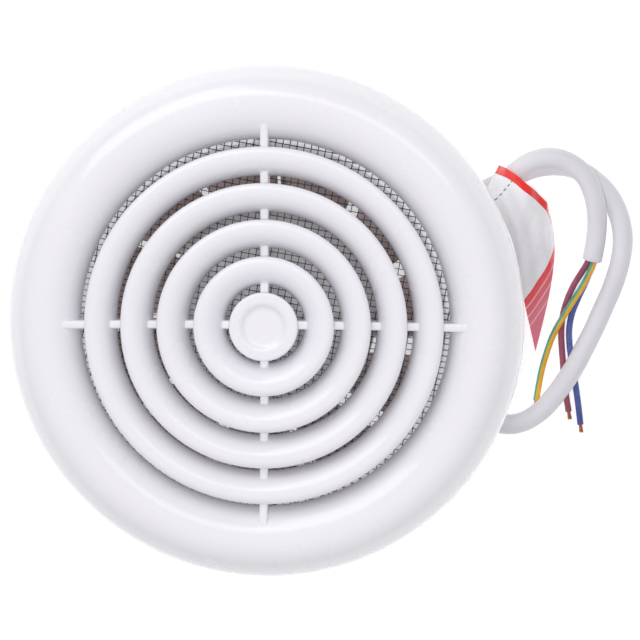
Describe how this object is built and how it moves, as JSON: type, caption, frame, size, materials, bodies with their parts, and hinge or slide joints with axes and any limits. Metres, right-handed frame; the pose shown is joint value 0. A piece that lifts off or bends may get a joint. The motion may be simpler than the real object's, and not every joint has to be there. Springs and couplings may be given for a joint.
{
  "type": "bathroom extractor fan",
  "caption": "Round ceiling extractor fan: wide rounded bezel, concentric ring grille with insect screen, duct spigot, shaft-mounted impeller and a short stripped supply cord.",
  "frame": {"origin": "on the fan axis, at the discharge end of the duct spigot, which is also the surface the fan stands on with its grille up", "axes": "+Z along the fan axis towards the room-side grille, +X towards the side the supply cord lies on"},
  "size_m": [0.2222, 0.18, 0.0956],
  "materials": {
    "white_abs": "smooth moulded, semi-gloss",
    "screen_wire": "fine woven wire, dark coated",
    "impeller_plastic": "moulded, satin, pale brown-grey",
    "zinc_plated_steel": "pressed, zinc plated",
    "bright_steel": "turned and plated",
    "lamination_steel": "stacked sheets, blued",
    "enamelled_copper": "enamelled winding wire",
    "sintered_bronze": "sintered, oiled",
    "fibre": "fibre washer",
    "grey_rubber": "matt moulded rubber",
    "cord_pvc": "pale grey-white flexible PVC sheath",
    "core_brown_pvc": "brown-maroon PVC insulation",
    "core_blue_pvc": "blue PVC insulation",
    "core_earth_pvc": "green and yellow striped PVC insulation",
    "bare_copper": "bare stranded copper",
    "printed_film": "glossy printed film, white with red and pink-red areas"
  },
  "bodies": {
    "housing": {"duct_housing": "white_abs", "motor_bracket": "zinc_plated_steel", "bracket_screw_1": "bright_steel", "bracket_screw_2": "bright_steel", "bracket_screw_3": "bright_steel", "bracket_screw_4": "bright_steel", "motor_rear_shield": "zinc_plated_steel", "motor_front_shield": "zinc_plated_steel", "stator_stack": "lamination_steel", "stator_winding": "enamelled_copper", "bearing_rear": "sintered_bronze", "bearing_front": "sintered_bronze", "motor_bolt_1": "bright_steel", "motor_bolt_2": "bright_steel", "motor_bolt_3": "bright_steel", "motor_bolt_4": "bright_steel", "motor_nut_1": "bright_steel", "motor_nut_2": "bright_steel", "motor_nut_3": "bright_steel", "motor_nut_4": "bright_steel", "strain_relief": "grey_rubber", "motor_grommet": "grey_rubber", "inner_cord": "cord_pvc", "cord_sheath": "cord_pvc", "core_brown": "core_brown_pvc", "copper_end_brown": "bare_copper", "core_blue": "core_blue_pvc", "copper_end_blue": "bare_copper", "core_earth": "core_earth_pvc", "copper_end_earth": "bare_copper", "cord_tag": "printed_film"},
    "impeller": {"impeller": "impeller_plastic", "motor_shaft": "bright_steel", "rotor_core": "lamination_steel", "thrust_washer": "fibre", "impeller_washer": "bright_steel", "impeller_nut": "bright_steel"},
    "front_cover": {"front_grille": "white_abs", "insect_screen": "screen_wire", "screen_retainer": "white_abs"}
  },
  "joints": [
    {"name": "impeller_spin", "type": "hinge", "parent": "housing", "child": "impeller", "pos_m": [0, 0, 0.045], "axis": [0, 0, 1], "continuous": true},
    {"name": "cover_pull", "type": "slide", "parent": "housing", "child": "front_cover", "axis": [0, 0, 1], "range_m": [0, 0.03]}
  ]
}
